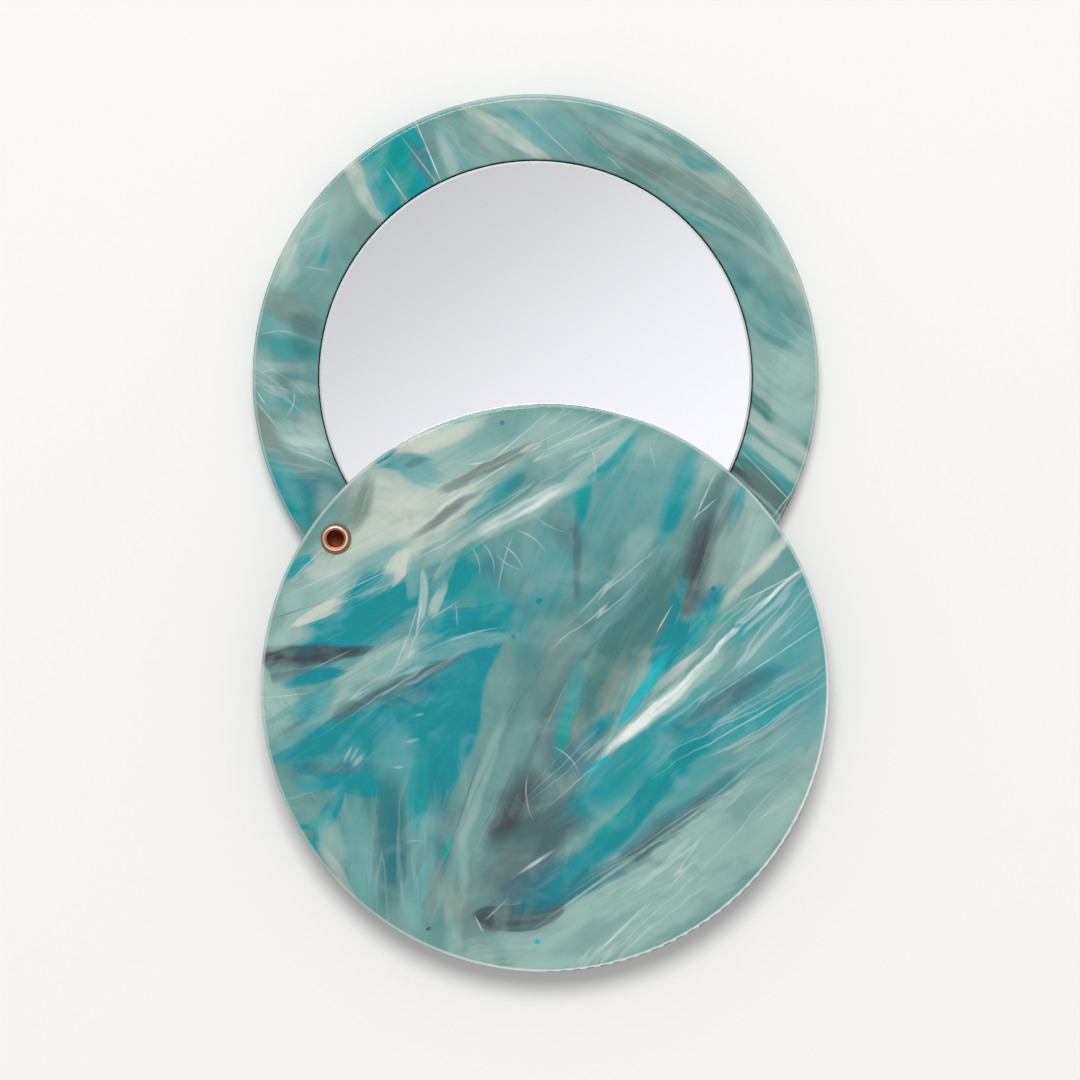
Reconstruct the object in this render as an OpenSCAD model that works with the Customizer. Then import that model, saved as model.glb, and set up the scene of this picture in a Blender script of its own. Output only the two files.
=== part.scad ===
// Pocket mirror with a swivel cover.
// Two round discs of marbled cellulose acetate are held face to face by one copper
// semi-tubular rivet near their edge. The base disc carries a round glass mirror in a
// pocket. The cover disc turns about the rivet, to hide the mirror or to lay it open.
//
// Millimetres, +Z up. The origin is the centre of the base disc's underside, which is
// the face that the mirror rests on. +Y points away from the opened cover.

/* [Mirror glass] */
// Diameter of the round mirror glass
glass_d = 58; // [40:1:90]
// Thickness of the mirror glass
glass_t = 1.8; // [1:0.1:3]
// Width of the ground arris round the glass
arris_w = 0.3; // [0.1:0.1:1]
// Height that the arris takes off the glass's edge
arris_drop = 0.3; // [0.1:0.1:0.8]
// Thickness of the silvering and the lacquer that guards it
backing_t = 0.1; // [0.05:0.05:0.3]
// Width of bare glass outside the silvering
backing_inset = 0.3; // [0.1:0.1:1]
// Thickness of the double-sided film that holds the mirror
film_t = 0.2; // [0.1:0.05:0.6]
// Distance from the glass's edge in to the film's edge
film_inset = 2; // [1:0.5:8]

/* [Acetate discs] */
// Width of the base's rim, from the mirror pocket to the outer edge
rim_w = 8.8; // [7.4:0.1:16]
// Thickness of acetate left under the mirror pocket
floor_t = 1.8; // [1.4:0.1:4]
// Radius of the base's tumbled outer edges
base_edge_r = 0.8; // [0.3:0.1:1]
// Thickness of the cover disc
cover_t = 3; // [1.6:0.1:6]
// Radius of the cover's tumbled outer edges
cover_edge_r = 0.6; // [0.3:0.1:0.7]
// Chamfer round the mouth of the mirror pocket
pocket_chamfer = 0.15; // [0.05:0.05:0.4]
// Radius that the cutter leaves round the pocket's floor
pocket_fillet = 0.15; // [0.05:0.05:0.2]

/* [Rivet] */
// Distance from the rivet's axis to the outer edge of each disc
pivot_inset = 3.6; // [3.5:0.1:4.4]
// Diameter of the rivet's shank
shank_d = 2.8; // [2:0.1:3]
// Wall of the rivet's tubular end
tube_wall = 0.33; // [0.2:0.01:0.4]
// Radius of the rolled lip's section
roll_r = 0.34; // [0.3:0.01:0.4]
// Height of the rolled lip's centre line above the washer that it grips
roll_lift = 0.12; // [0.05:0.01:0.3]
// Depth of the rivet's hollow below the washer's face, down to the drill point
hollow_depth = 3.2; // [1:0.1:4]
// Angle of the drill point at the bottom of the hollow
drill_point = 118; // [90:1:140]
// Diameter of the rivet's flat head, on the underside
head_d = 4.8; // [4:0.1:5]
// Thickness of the rivet's head
head_t = 0.7; // [0.4:0.05:1]
// Radius of the head's eased edge
head_edge_r = 0.3; // [0.1:0.05:0.35]
// Depth of the head's face inside the base's underside
head_recess = 0.3; // [0.1:0.05:0.6]

/* [Washers] */
// Diameter of the copper washer under the rolled lip
lip_washer_d = 4.1; // [3.8:0.1:5]
// Thickness of the copper washer
lip_washer_t = 0.2; // [0.1:0.05:0.5]
// Sideways shift of the copper washer, which lies off centre as it was set
lip_washer_shift = 0.1; // [0:0.01:0.1]
// Direction of that shift, in degrees from +X
lip_washer_bearing = -25; // [-180:5:180]
// Diameter of the nylon washer between the discs
spacer_d = 5.4; // [4.6:0.1:5.4]
// Thickness of the nylon washer
spacer_t = 0.3; // [0.2:0.05:1]

/* [Fits] */
// Gap round the glass in its pocket
pocket_gap = 0.2; // [0.1:0.05:0.5]
// Depth of the glass's face below the rim
glass_drop = 0.1; // [0.05:0.05:0.5]
// Running clearance round the shank, as a radius
run_gap = 0.05; // [0.02:0.01:0.1]
// Clearance round the shank in the copper washer, as a radius
lip_washer_gap = 0.12; // [0.11:0.01:0.2]
// Clearance round the head in its counterbore
head_gap = 0.2; // [0.1:0.05:0.3]
// End play of the cover under the copper washer
end_play = 0.04; // [0.02:0.01:0.1]
// Chamfer on the drilled holes
hole_chamfer = 0.15; // [0.05:0.05:0.2]

/* [Pose] */
// Direction of the rivet from the base's centre, in degrees from +X
pivot_bearing = 219; // [0:0.5:359.5]
// Angle that the cover is swung open, clockwise seen from above
cover_open = 74.5; // [0:0.5:359.5]

/* [Hidden] */
$fn = 128;
cut = 1; // how far a cutting shape runs past the face that it opens

pocket_r = glass_d / 2 + pocket_gap;
disc_r = pocket_r + rim_w;
pocket_depth = film_t + backing_t + glass_t + glass_drop;
base_t = floor_t + pocket_depth;

pivot_r = disc_r - pivot_inset;
pivot = pivot_r * [cos(pivot_bearing), sin(pivot_bearing)];
cover_bearing = pivot_bearing - 180 - cover_open;
cover_centre = pivot + pivot_r * [cos(cover_bearing), sin(cover_bearing)];
lip_washer_centre = pivot
    + lip_washer_shift * [cos(lip_washer_bearing), sin(lip_washer_bearing)];

shank_r = shank_d / 2;
hole_r = shank_r + run_gap;
bore_r = shank_r - tube_wall;
roll_centre_r = bore_r + roll_r;
counterbore_r = head_d / 2 + head_gap;
counterbore_depth = head_recess + head_t;

film_z = floor_t;
backing_z = film_z + film_t;
glass_z = backing_z + backing_t;
spacer_z = base_t;
cover_z = spacer_z + spacer_t;
lip_washer_z = cover_z + cover_t + end_play;
roll_seat_z = lip_washer_z + lip_washer_t;
hollow_z = roll_seat_z - hollow_depth;
drill_h = bore_r / tan(drill_point / 2);

acetate = [0.42, 0.66, 0.66];
glass = [0.80, 0.88, 0.88];
silver = [0.78, 0.79, 0.81];
clear_film = [0.90, 0.90, 0.85];
copper = [0.78, 0.50, 0.38];
nylon = [0.93, 0.92, 0.88];

// A disc of radius r and thickness t, with its outer edges rounded to radius e.
module tumbled_disc(r, t, e) {
    rotate_extrude() {
        square([r - e, t]);
        translate([0, e]) square([r, t - 2 * e]);
        for (z = [e, t - e])
            translate([r - e, z]) circle(e, $fn = 48);
    }
}

// A drilled hole from z = 0 up to z = h, with its two mouths chamfered.
module drilled_hole(r, h) {
    flare = hole_chamfer + cut;
    translate([0, 0, -cut]) cylinder(r = r, h = h + 2 * cut);
    translate([0, 0, -cut]) cylinder(r1 = r + flare, r2 = r, h = flare);
    translate([0, 0, h - hole_chamfer]) cylinder(r1 = r, r2 = r + flare, h = flare);
}

// The pocket as its cutter leaves it: straight wall, filleted floor, chamfered mouth.
module mirror_pocket() {
    f = pocket_fillet;
    c = pocket_chamfer;
    rotate_extrude() {
        square([pocket_r - f, pocket_depth + cut]);
        translate([0, f]) square([pocket_r, pocket_depth + cut - f]);
        translate([pocket_r - f, f]) circle(f, $fn = 32);
        translate([0, pocket_depth])
            polygon([[0, -c], [pocket_r, -c], [pocket_r + c + cut, cut], [0, cut]]);
    }
}

module base_disc() {
    color(acetate) difference() {
        tumbled_disc(disc_r, base_t, base_edge_r);
        translate([0, 0, floor_t]) mirror_pocket();
        translate(pivot) drilled_hole(hole_r, base_t);
        translate(pivot) translate([0, 0, -cut])
            cylinder(r = counterbore_r, h = counterbore_depth + cut);
    }
}

module mirror_adhesive() {
    color(clear_film) translate([0, 0, film_z])
        cylinder(r = glass_d / 2 - film_inset, h = film_t);
}

module mirror_backing() {
    color(silver) translate([0, 0, backing_z])
        cylinder(r = glass_d / 2 - backing_inset, h = backing_t);
}

// Float glass, with the sharp edge of its face ground off.
module mirror_glass() {
    r = glass_d / 2;
    color(glass) translate([0, 0, glass_z]) rotate_extrude()
        polygon([[0, 0], [r, 0], [r, glass_t - arris_drop], [r - arris_w, glass_t],
                 [0, glass_t]]);
}

module spacer_washer() {
    color(nylon) translate([pivot[0], pivot[1], spacer_z]) difference() {
        cylinder(d = spacer_d, h = spacer_t);
        translate([0, 0, -cut]) cylinder(r = hole_r, h = spacer_t + 2 * cut);
    }
}

// The rivet's flat head with its eased edge.
module head_section() {
    r = head_d / 2;
    e = head_edge_r;
    square([r - e, head_t]);
    translate([0, e]) square([r, head_t - e]);
    translate([r - e, e]) circle(e, $fn = 32);
}

// The tube's end, turned out and down until its edge grips the washer.
module roll_section() {
    translate([bore_r, 0]) square([2 * roll_r, roll_lift]);
    intersection() {
        translate([roll_centre_r, roll_lift]) circle(roll_r, $fn = 64);
        translate([bore_r, 0]) square([2 * roll_r, roll_lift + roll_r]);
    }
}

// Half of the rivet's section: head, solid shank, drilled hollow end and rolled lip.
module rivet_section() {
    translate([0, head_recess]) head_section();
    difference() {
        translate([0, head_recess]) square([shank_r, roll_seat_z - head_recess]);
        polygon([[0, hollow_z], [bore_r, hollow_z + drill_h],
                 [bore_r, roll_seat_z + cut], [0, roll_seat_z + cut]]);
    }
    translate([0, roll_seat_z]) roll_section();
}

module rivet() {
    color(copper) translate(pivot) rotate_extrude() rivet_section();
}

// The copper washer that spreads the rolled lip's grip over the acetate.
module rivet_washer() {
    color(copper)
        translate([lip_washer_centre[0], lip_washer_centre[1], lip_washer_z]) difference() {
            cylinder(d = lip_washer_d, h = lip_washer_t);
            translate([0, 0, -cut])
                cylinder(r = shank_r + lip_washer_gap, h = lip_washer_t + 2 * cut);
        }
}

module cover_disc() {
    color(acetate) translate([0, 0, cover_z]) difference() {
        translate(cover_centre) tumbled_disc(disc_r, cover_t, cover_edge_r);
        translate(pivot) drilled_hole(hole_r, cover_t);
    }
}

base_disc();
mirror_adhesive();
mirror_backing();
mirror_glass();
spacer_washer();
rivet();
rivet_washer();
cover_disc();
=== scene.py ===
# %% [markdown]
# # A pocket mirror in marbled cellulose acetate
# Two polished discs of marbled acetate turn on one copper rivet. The lower disc holds a
# round mirror. Everything with a size comes from the CAD frame, in metres, and stays as
# it is. This lesson gives each piece the surface of its real material, and ends with the
# light and the camera.

# %% Load the frame
import bpy
import math
from math import radians
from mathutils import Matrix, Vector


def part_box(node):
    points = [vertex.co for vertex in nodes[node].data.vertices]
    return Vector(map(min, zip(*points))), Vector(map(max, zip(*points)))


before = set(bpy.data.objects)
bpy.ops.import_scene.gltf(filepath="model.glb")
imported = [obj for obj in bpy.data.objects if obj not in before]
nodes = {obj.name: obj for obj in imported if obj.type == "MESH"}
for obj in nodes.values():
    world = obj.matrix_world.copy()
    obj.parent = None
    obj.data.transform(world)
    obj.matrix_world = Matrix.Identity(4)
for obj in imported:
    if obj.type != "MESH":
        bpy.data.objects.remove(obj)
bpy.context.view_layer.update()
MM = 0.001


# %% [markdown]
# ## Where things are
# A pattern is easier to place from the centre of the disc that carries it. The centres
# are read from the frame's boxes, so a change of the CAD model moves the pattern with it.

# %% Centres of the discs and of the rivet
def middle(node):
    low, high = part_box(node)
    return (low + high) / 2


rivet_centre = middle("rivet")
disc_radius = (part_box("base_disc")[1].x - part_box("base_disc")[0].x) / 2
print("disc radius in mm:", round(disc_radius / MM, 2))


# %% [markdown]
# ## Building materials
# Blender's shaders want linear colour, and people know colours by their sRGB hex value,
# so one function turns the second into the first. A second small function adds a node,
# sets it and links its inputs, which keeps each material short enough to read.

# %% Colour and node helpers
def linear(hex_code):
    channels = [int(hex_code[i:i + 2], 16) / 255 for i in (1, 3, 5)]
    curve = [c / 12.92 if c <= 0.04045 else ((c + 0.055) / 1.055) ** 2.4 for c in channels]
    return (*curve, 1.0)


def add(tree, kind, settings, *values, **inputs):
    """Adds a node with its settings. The values fill its first inputs in turn.

    An input is a value, an output to link from, or a node whose result it takes."""
    node = tree.nodes.new("ShaderNode" + kind)
    for name, value in settings.items():
        setattr(node, name, value)
    for name, value in [*enumerate(values), *inputs.items()]:
        if isinstance(name, str):
            name = int(name[1:]) if name[1:].isdigit() else name.replace("_", " ")
        if isinstance(value, bpy.types.Node):
            value = next(output for output in value.outputs if output.enabled)
        if isinstance(value, bpy.types.NodeSocket):
            tree.links.new(value, node.inputs[name])
        else:
            node.inputs[name].default_value = value
    return node


def from_axis(tree, place, x, y):
    """The level vector to a place from an upright axis at x and y, and its length."""
    level = add(tree, "VectorMath", {"operation": "MULTIPLY_ADD"}, place, (1, 1, 0),
                (-x, -y, 0))
    return level, add(tree, "VectorMath", {"operation": "LENGTH"}, level)


def new_material(name):
    material = bpy.data.materials.new(name)
    material.use_nodes = True
    tree = material.node_tree
    tree.nodes.clear()
    return material, tree


def wear(node, material):
    """Gives a CAD node one material on all of its slots."""
    mesh = nodes[node].data
    mesh.materials.clear()
    mesh.materials.append(material)


# %% [markdown]
# ## Marbled acetate
# Cellulose acetate sheet is marbled by folding coloured doughs into each other and
# pressing the block, so the colours lie in long streaks that follow the flow, with some
# soft borders and some crisp ones. One node group draws one such streak: an ellipse that
# can bend and taper, with a border frayed along the flow. A disc's colour is a base dough
# with its streaks laid over it one after another. This keeps every streak a thing with a
# place, a size in millimetres and a pigment, which a noise texture alone can't give.

# %% The streak group
DRAG = 0.2        # mm that pale dough beneath a streak drags the streak's border along
NARROWEST = 0.08  # share of its width that a tapering streak keeps


def streak_group():
    tree = bpy.data.node_groups.new("acetate streak", "ShaderNodeTree")
    for name, kind in [("Dough", "Color"), ("Place", "Vector"), ("Comb", "Float"),
                       ("Centre", "Vector"), ("Along", "Vector"), ("Across", "Vector"),
                       ("Bend", "Float"), ("Taper", "Float"), ("Border", "Float"),
                       ("Fray", "Float"), ("Fibre", "Float"), ("Pigment", "Color"),
                       ("Cover", "Float")]:
        tree.interface.new_socket(name, in_out="INPUT", socket_type="NodeSocket" + kind)
    tree.interface.new_socket("Dough", in_out="OUTPUT", socket_type="NodeSocketColor")
    given = tree.nodes.new("NodeGroupInput").outputs
    dragged = add(tree, "VectorMath", {"operation": "MULTIPLY_ADD"}, given["Dough"],
                  (DRAG, DRAG, 0.0), given["Place"])
    offset = add(tree, "VectorMath", {"operation": "SUBTRACT"}, dragged, given["Centre"])
    along = add(tree, "VectorMath", {"operation": "DOT_PRODUCT"}, offset, given["Along"])
    across = add(tree, "VectorMath", {"operation": "DOT_PRODUCT"}, offset, given["Across"])
    square = add(tree, "Math", {"operation": "MULTIPLY"}, along, along)
    bent = add(tree, "Math", {"operation": "MULTIPLY_ADD"}, square, given["Bend"], across)
    width = add(tree, "Math", {"operation": "MULTIPLY_ADD"}, along, given["Taper"], 1.0)
    wide = add(tree, "Math", {"operation": "MAXIMUM"}, width, NARROWEST)
    off_axis = add(tree, "Math", {"operation": "DIVIDE"}, bent, wide)
    reach = add(tree, "Math", {"operation": "MULTIPLY_ADD"}, off_axis, off_axis, square)
    frayed = add(tree, "Math", {"operation": "MULTIPLY_ADD"}, given["Comb"],
                 given["Fray"], reach)
    inner = add(tree, "Math", {"operation": "SUBTRACT"}, 1.0, given["Border"])
    outer = add(tree, "Math", {"operation": "ADD"}, 1.0, given["Border"])
    mask = add(tree, "MapRange", {"interpolation_type": "SMOOTHSTEP", "clamp": False},
               frayed, inner, outer, given["Cover"], 0.0)
    fibres = add(tree, "Math", {"operation": "MULTIPLY_ADD"}, given["Comb"],
                 given["Fibre"], 1.0)
    amount = add(tree, "Math", {"operation": "MULTIPLY"}, mask, fibres)
    mixed = add(tree, "Mix", {"data_type": "RGBA"}, amount, i6=given["Dough"],
                i7=given["Pigment"])
    tree.links.new(mixed.outputs[2], tree.nodes.new("NodeGroupOutput").inputs[0])
    return tree


STREAK = streak_group()

# %% [markdown]
# ## The doughs
# The sheet mixes a few pigments only. Their colours are those of the dough in plain
# daylight. White and cream are opaque doughs, and teal and charcoal are strong dyes.

# %% Pigments
SEA = linear("#6E9A96")       # the grey-green that most of the sheet is made of
TEAL = linear("#008A95")      # the strongest dye
LAGOON = linear("#2B979D")    # teal thinned with sea
MIST = linear("#70A8A7")      # teal thinned further
AQUA = linear("#12B2BC")      # the brightest streaks
JADE = linear("#25A093")      # teal that has taken some cream
PALE = linear("#9DBDB5")      # sea with some cream
CREAM = linear("#C8D0C5")
WHITE = linear("#E2ECEA")
CHARCOAL = linear("#4B5055")
SLATE = linear("#577075")     # charcoal thinned with sea
PETROL = linear("#357682")    # charcoal and teal
PINE = linear("#4B7D79")      # charcoal and sea
OLIVE = linear("#7F8E86")


# %% The way a streak is written down
THINNER, FAINTER = 0.8, 0.7  # a vein fades at its ends, which widens and deepens the rest


def band(pigment, start, end, width, border=0.9, cover=0.6, fray=1.7, fibre=1.3,
         bend=0.0, taper=0.0, comb="fine"):
    """A streak of dough from start to end, in millimetres from the disc's centre.

    width is half its width, border the soft share of its edge, cover how much it hides
    the dough beneath, fray how ragged its edge is, fibre how much its density varies
    along the flow, bend how far its ends drop, taper how much wider its far end is, and
    comb names the flow texture it takes."""
    return dict(pigment=pigment, start=Vector(start), end=Vector(end), width=width,
                border=border, fray=fray, cover=cover, fibre=fibre, bend=bend, taper=taper,
                comb=comb)


def hair(start, end, width, cover=0.6, bend=0.0, pigment=WHITE):
    """A vein: a thin straight streak that fades in and out."""
    return band(pigment, start, end, THINNER * width, 0.9, FAINTER * cover, fray=0.0,
                fibre=3.0, bend=bend, comb=None)


def speck(pigment, start, end, width, cover):
    """A grain of raw dye."""
    return band(pigment, start, end, width, 0.5, cover, fray=0.0, fibre=0.0, comb=None)


def feather(start, end, width, cover, pigment=WHITE):
    """A bundle of fine parallel veins."""
    return band(pigment, start, end, width, 0.9, cover, fray=0.0, fibre=2.0, comb="line")


def veil(pigment, start, end, width, cover):
    """A second dough combed through a wide area, so only its fibres show."""
    return band(pigment, start, end, width, 0.9, cover, fibre=6.0, comb="broad")


# %% Flow textures and the laying of a streak
COMBS = {  # turns of the noise per mm along the flow and across it, and its detail
    "fine": (0.07, 1.5, 3.0), "broad": (0.03, 0.55, 3.0), "line": (0.03, 0.5, 1.0),
}
GRAIN = 0.6    # roughness of the noises
APART = 3.0    # keeps the flows' noises away from the noise's own centre
CLUMPS = 0.55  # how much the round clumps of the dough add to its fibres
LINE = 0.035   # share of the noise's range that one fine vein takes
FLOWS = [-65, -38, -12, 8, 30, 45, 65, 90]  # directions in degrees
STEEPEST = -75  # a streak's direction counts in degrees from here to half a turn more


def flow_texture(tree, place, clumps, comb, degrees):
    """Noise drawn out along one direction, about -0.5 to 0.5, with clumps or as veins."""
    along, across, detail = COMBS[comb]
    turned = add(tree, "VectorRotate", {"rotation_type": "Z_AXIS"}, Vector=place,
                 Angle=-radians(degrees))
    drawn = add(tree, "VectorMath", {"operation": "MULTIPLY_ADD"}, turned,
                (along, across, 0.0), (degrees, APART, 0.0))
    noise = add(tree, "TexNoise", {"noise_dimensions": "2D"}, Vector=drawn, Scale=1.0,
                Detail=detail, Roughness=GRAIN)
    centred = add(tree, "Math", {"operation": "SUBTRACT"}, noise, 0.5)
    if comb == "line":
        away = add(tree, "Math", {"operation": "ABSOLUTE"}, centred)
        return add(tree, "MapRange", {"interpolation_type": "SMOOTHSTEP"}, away, 0.0, LINE,
                   1.0, -0.5)
    return add(tree, "Math", {"operation": "MULTIPLY_ADD"}, clumps, CLUMPS, centred)


def lay_at(tree, dough, place, comb, centre, s):
    """Adds a streak's node, with its place and size in the group's own terms."""
    middle_at, along = (s["start"] + s["end"]) / 2, s["end"] - s["start"]
    length, unit = along.length / 2, along.normalized()
    return add(tree, "Group", {"node_tree": STREAK}, Dough=dough, Place=place, Comb=comb,
               Centre=(centre.x / MM + middle_at.x, centre.y / MM + middle_at.y, 0),
               Along=(unit.x / length, unit.y / length, 0),
               Across=(-unit.y / s["width"], unit.x / s["width"], 0),
               Bend=s["bend"] / s["width"], Taper=s["taper"], Border=s["border"],
               Fray=s["fray"], Fibre=s["fibre"], Pigment=s["pigment"], Cover=s["cover"])


def lay(tree, dough, place, flows, centre, s):
    """Lays one streak over the dough so far and returns the new dough.

    place holds the straight coordinates, which veins follow, the warped ones and the
    clumps."""
    straight, warped, clumps = place
    if s["comb"] is None:
        return lay_at(tree, dough, straight, clumps, centre, s)
    along = s["end"] - s["start"]
    degrees = (math.degrees(math.atan2(along.y, along.x)) - STEEPEST) % 180 + STEEPEST
    flow = s["comb"], min(FLOWS, key=lambda each: abs(each - degrees))
    if flow not in flows:
        flows[flow] = flow_texture(tree, warped, clumps, *flow)
    return lay_at(tree, dough, warped, flows[flow], centre, s)


# %% [markdown]
# ## The streaks of the cover
# They are laid in the order in which the sheet is made: wide soft grounds first, then the
# strong dyes and creams that were folded in, thin doughs that settle the tones, and last
# the fine veins. A streak's first point and last point also give the flow its direction.

# %% Cover: grounds, the widest and softest doughs
on_cover = [
    band(MIST, (2, 8), (16, 34), 7, 0.9, 0.45),
    band(MIST, (16, -8), (38, 8), 7, 0.9, 0.5),
    band(LAGOON, (-24, -16), (-12, 2), 9, 0.5, 0.75),
    band(PALE, (-37, 2), (-20, 22), 6, 0.7, 0.8),
    band(PALE, (-26, 24), (-4, 34), 6, 0.8, 0.75),
    band(PALE, (-38, 0), (-33, -7), 3.5, 0.6, 0.85),
    band(PALE, (-4, 36), (14, 32), 2.4),
    band(PALE, (0, -36), (37, -10), 6.6, 0.45, 0.72, fibre=1.6),
    band(PALE, (-13, -37), (8, -34), 3.2, 0.6, 0.8),
    band(PALE, (23, 13), (29, 26), 3.6, 0.7, 0.85),
    band(PALE, (19, 28), (24, 31), 1.8, 0.8, 0.55),
    band(SLATE, (-3, -14), (3, 8), 4.5, 1, 0.4),
    band(SLATE, (6, 0), (15, 15), 3.6, 1, 0.55),
    band(SEA, (19, -29), (31, -13), 3, 0.7, 0.75),
    band(PALE, (-4, 32), (18, 33), 4, 0.9, 0.5),
    band(MIST, (26, -6), (38, 14), 5),
    band(PALE, (10, -38), (40, -4), 3.2, 0.8),
]

# %% Cover: veils, which comb a second dough through the ground along the flow
on_cover += [
    veil(SLATE, (-8, -34), (12, 26), 11, 0.35),
    veil(PALE, (0, -30), (22, 36), 13, 0.35),
    veil(LAGOON, (-2, 2), (14, 38), 9, 0.35),
    veil(PINE, (-4, -8), (18, 22), 7, 0.4),
    veil(PALE, (10, -24), (42, 10), 9, 0.3),
    veil(LAGOON, (14, -12), (42, 16), 9, 0.22),
    veil(PINE, (-34, -6), (-26, -34), 12, 0.3),
]

# %% Cover: the cream side, round the rivet
on_cover += [
    band(CREAM, (-31, 15.5), (-7.5, 27.5), 3.8, 0.5, 0.75),
    band(CREAM, (-27.5, 28), (-17, 25), 2.8, 0.7),
    band(CREAM, (-20.5, 30.7), (-9, 35.6), 1.5, 0.6, 0.9),
    band(CREAM, (-19.5, 15.5), (-16, 26), 1.8, 0.7),
    band(OLIVE, (-26, 21.6), (-23.3, 27.6), 1.3, 0.8, 0.85),
    band(OLIVE, (-29, 17.4), (-25.6, 29), 1, 0.9, 0.5),
    band(LAGOON, (-21.6, 29.4), (-15, 30.4), 0.9, 0.4, 0.8),
    band(MIST, (-21.6, 30.8), (-13.6, 27.8), 1.7, 0.5, 0.9, taper=0.5),
    band(SLATE, (-18.5, 29.2), (-15.4, 30.6), 0.6, 0.8, 0.5),
    band(TEAL, (-22.8, 30), (-20, 31.7), 0.5, 0.4, 0.95),
    band(PALE, (-30, 16.4), (-16, 20.4), 1.1, 0.8),
    band(MIST, (-27, 14.6), (-18.6, 19.4), 1.3, 0.7, 0.8),
    band(MIST, (-36, 9), (-28, 15), 0.9, 1, 0.4),
    band(LAGOON, (-35, 15), (-31, 17.8), 0.9, 0.35, 0.8),
]

# %% Cover: teal pools on the left
on_cover += [
    band(TEAL, (-33.5, 3.6), (-16.5, 13.6), 3.4, 0.35, 1),
    band(TEAL, (-26, 9), (-21.5, 15.6), 2.2, 0.5, 0.95),
    band(LAGOON, (-32.5, 5), (-27, 10), 1.7, 0.8, 0.5),
    band(LAGOON, (-14.6, 11), (-8.6, 18.6), 2.2, 0.7, 0.85),
    band(TEAL, (-14.4, 11.8), (-10, 17.4), 1.7, 0.7, 0.7),
    band(PETROL, (-9.4, 18.6), (-5.6, 12.6), 1.5, 0.9, 0.55),
    band(LAGOON, (-10, 15), (-3, 6), 2.2, 0.9, 0.7),
    band(TEAL, (-16.6, 7), (-4.4, 10.8), 2.0, 0.5, 0.95),
    band(TEAL, (-19, -6), (-6.4, 8), 3.9, 0.4, 1),
    band(TEAL, (-15.4, -16), (-7.6, 4), 2.7, 0.5, 0.9),
    band(TEAL, (-32.5, -8.2), (-14.5, -2.2), 2.1, 0.5, 1),
    band(TEAL, (-36.5, -10.6), (-29, -6.4), 1, 0.7, 0.7),
    band(TEAL, (-33, -4.6), (-15, -7.4), 3.2, 0.6, 0.85),
    band(TEAL, (-35, -9), (-22, -13), 2.0, 0.7, 0.7),
    band(TEAL, (-8.8, 5), (-11.6, -9), 1.8, 0.7, 0.8),
    band(MIST, (-20.4, -4.6), (-19, -14.6), 2.6, 1, 0.5, fibre=1),
    band(PETROL, (-33, -11.2), (-22.4, -10.4), 1, 0.8, 0.75),
    band(SLATE, (-32, -10.6), (-26, -10.9), 0.6, 0.9, 0.5),
    band(TEAL, (-30.6, -12.2), (-20.4, -14.2), 1.4, 0.6, 0.95),
    band(TEAL, (-27, -14), (-30.4, -20), 1.2, 0.3, 0.95),
    band(LAGOON, (-34, -13), (-28.6, -13), 0.9, 0.8, 0.7),
    band(TEAL, (-33.6, -18.2), (-28.6, -18.2), 0.35, 0.6, 0.8),
    band(SEA, (-36, -12.6), (-30, -17.6), 1.5, 0.6, 0.85),
    band(LAGOON, (-32.5, -19.4), (-29.6, -21), 0.7, 0.8, 0.7),
    veil(MIST, (-36, -14), (-12, 8), 9, 0.22),
    veil(LAGOON, (-30, 2), (-6, 18), 5, 0.3),
]

# %% Cover: the lower left, where the doughs hang down
on_cover += [
    band(MIST, (-25.4, -15.4), (-23.8, -30), 2.2, 0.9, 0.8, fibre=1.4),
    band(PALE, (-29, -17.4), (-27.4, -24), 1.6, 0.9, 0.55),
    band(CREAM, (-29.6, -21), (-25.8, -28.6), 0.9, 0.9, 0.4),
    band(PINE, (-20.6, -12), (-20.4, -29), 2.0, 0.9, 0.8),
    band(PETROL, (-20.4, -14), (-20, -27), 1.6, 0.9, 0.7),
    band(LAGOON, (-16.8, -9), (-16.6, -21), 1.4, 0.7, 0.85),
    band(MIST, (-14.4, -14), (-17.6, -30.6), 1.5, 0.5, 0.8),
    band(SEA, (-15.4, -19.6), (-18.8, -29), 0.75, 0.35, 0.9),
    band(MIST, (-18.6, -26), (-16.6, -33), 1.2),
]

# %% Cover: charcoal wedge at the left edge and the cream above it
on_cover += [
    band(SLATE, (-38, 1.6), (-29, 3.4), 1.3, 0.8, 0.8),
    band(CHARCOAL, (-39, 3.9), (-23, 4.9), 1.15, 0.6, 0.9, taper=-0.35),
    band(CHARCOAL, (-39.6, 3.8), (-34.6, 3.8), 1.3, 0.3),
    band(CHARCOAL, (-32.6, 3), (-25, 4.9), 0.6),
    band(PALE, (-38.4, 3), (-36.4, -0.6), 0.9, 0.5, 0.9),
    band(TEAL, (-34.4, 0.6), (-26.6, 2.3), 0.9, 0.4, 0.9),
    band(CREAM, (-34, 7.9), (-26.4, 11.8), 0.95, 0.3, 0.9, fibre=1, taper=0.4),
]

# %% Cover: cream drips that run into the teal
on_cover += [
    band(CREAM, (-18, 18.6), (-21.4, 13.6), 1.4, 0.35, 0.9),
    band(PALE, (-20.4, 15), (-23.2, 12.2), 0.8, 0.3, 0.9),
    band(MIST, (-17.8, 17.6), (-18.2, 11.6), 0.8, 0.5, 0.8),
    band(PALE, (-16.4, 16.2), (-16.9, 8.6), 0.62, 0.4, 0.95, fibre=1),
    band(PALE, (-13.2, 14.2), (-15.8, 9.2), 0.85, 0.35, 0.85),
    band(PALE, (-10.4, 20.6), (-14.8, 14.8), 0.7, 0.5, 0.75),
    band(MIST, (-11.8, 19.4), (-14.6, 12.4), 0.9, 0.7, 0.7),
]

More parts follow.
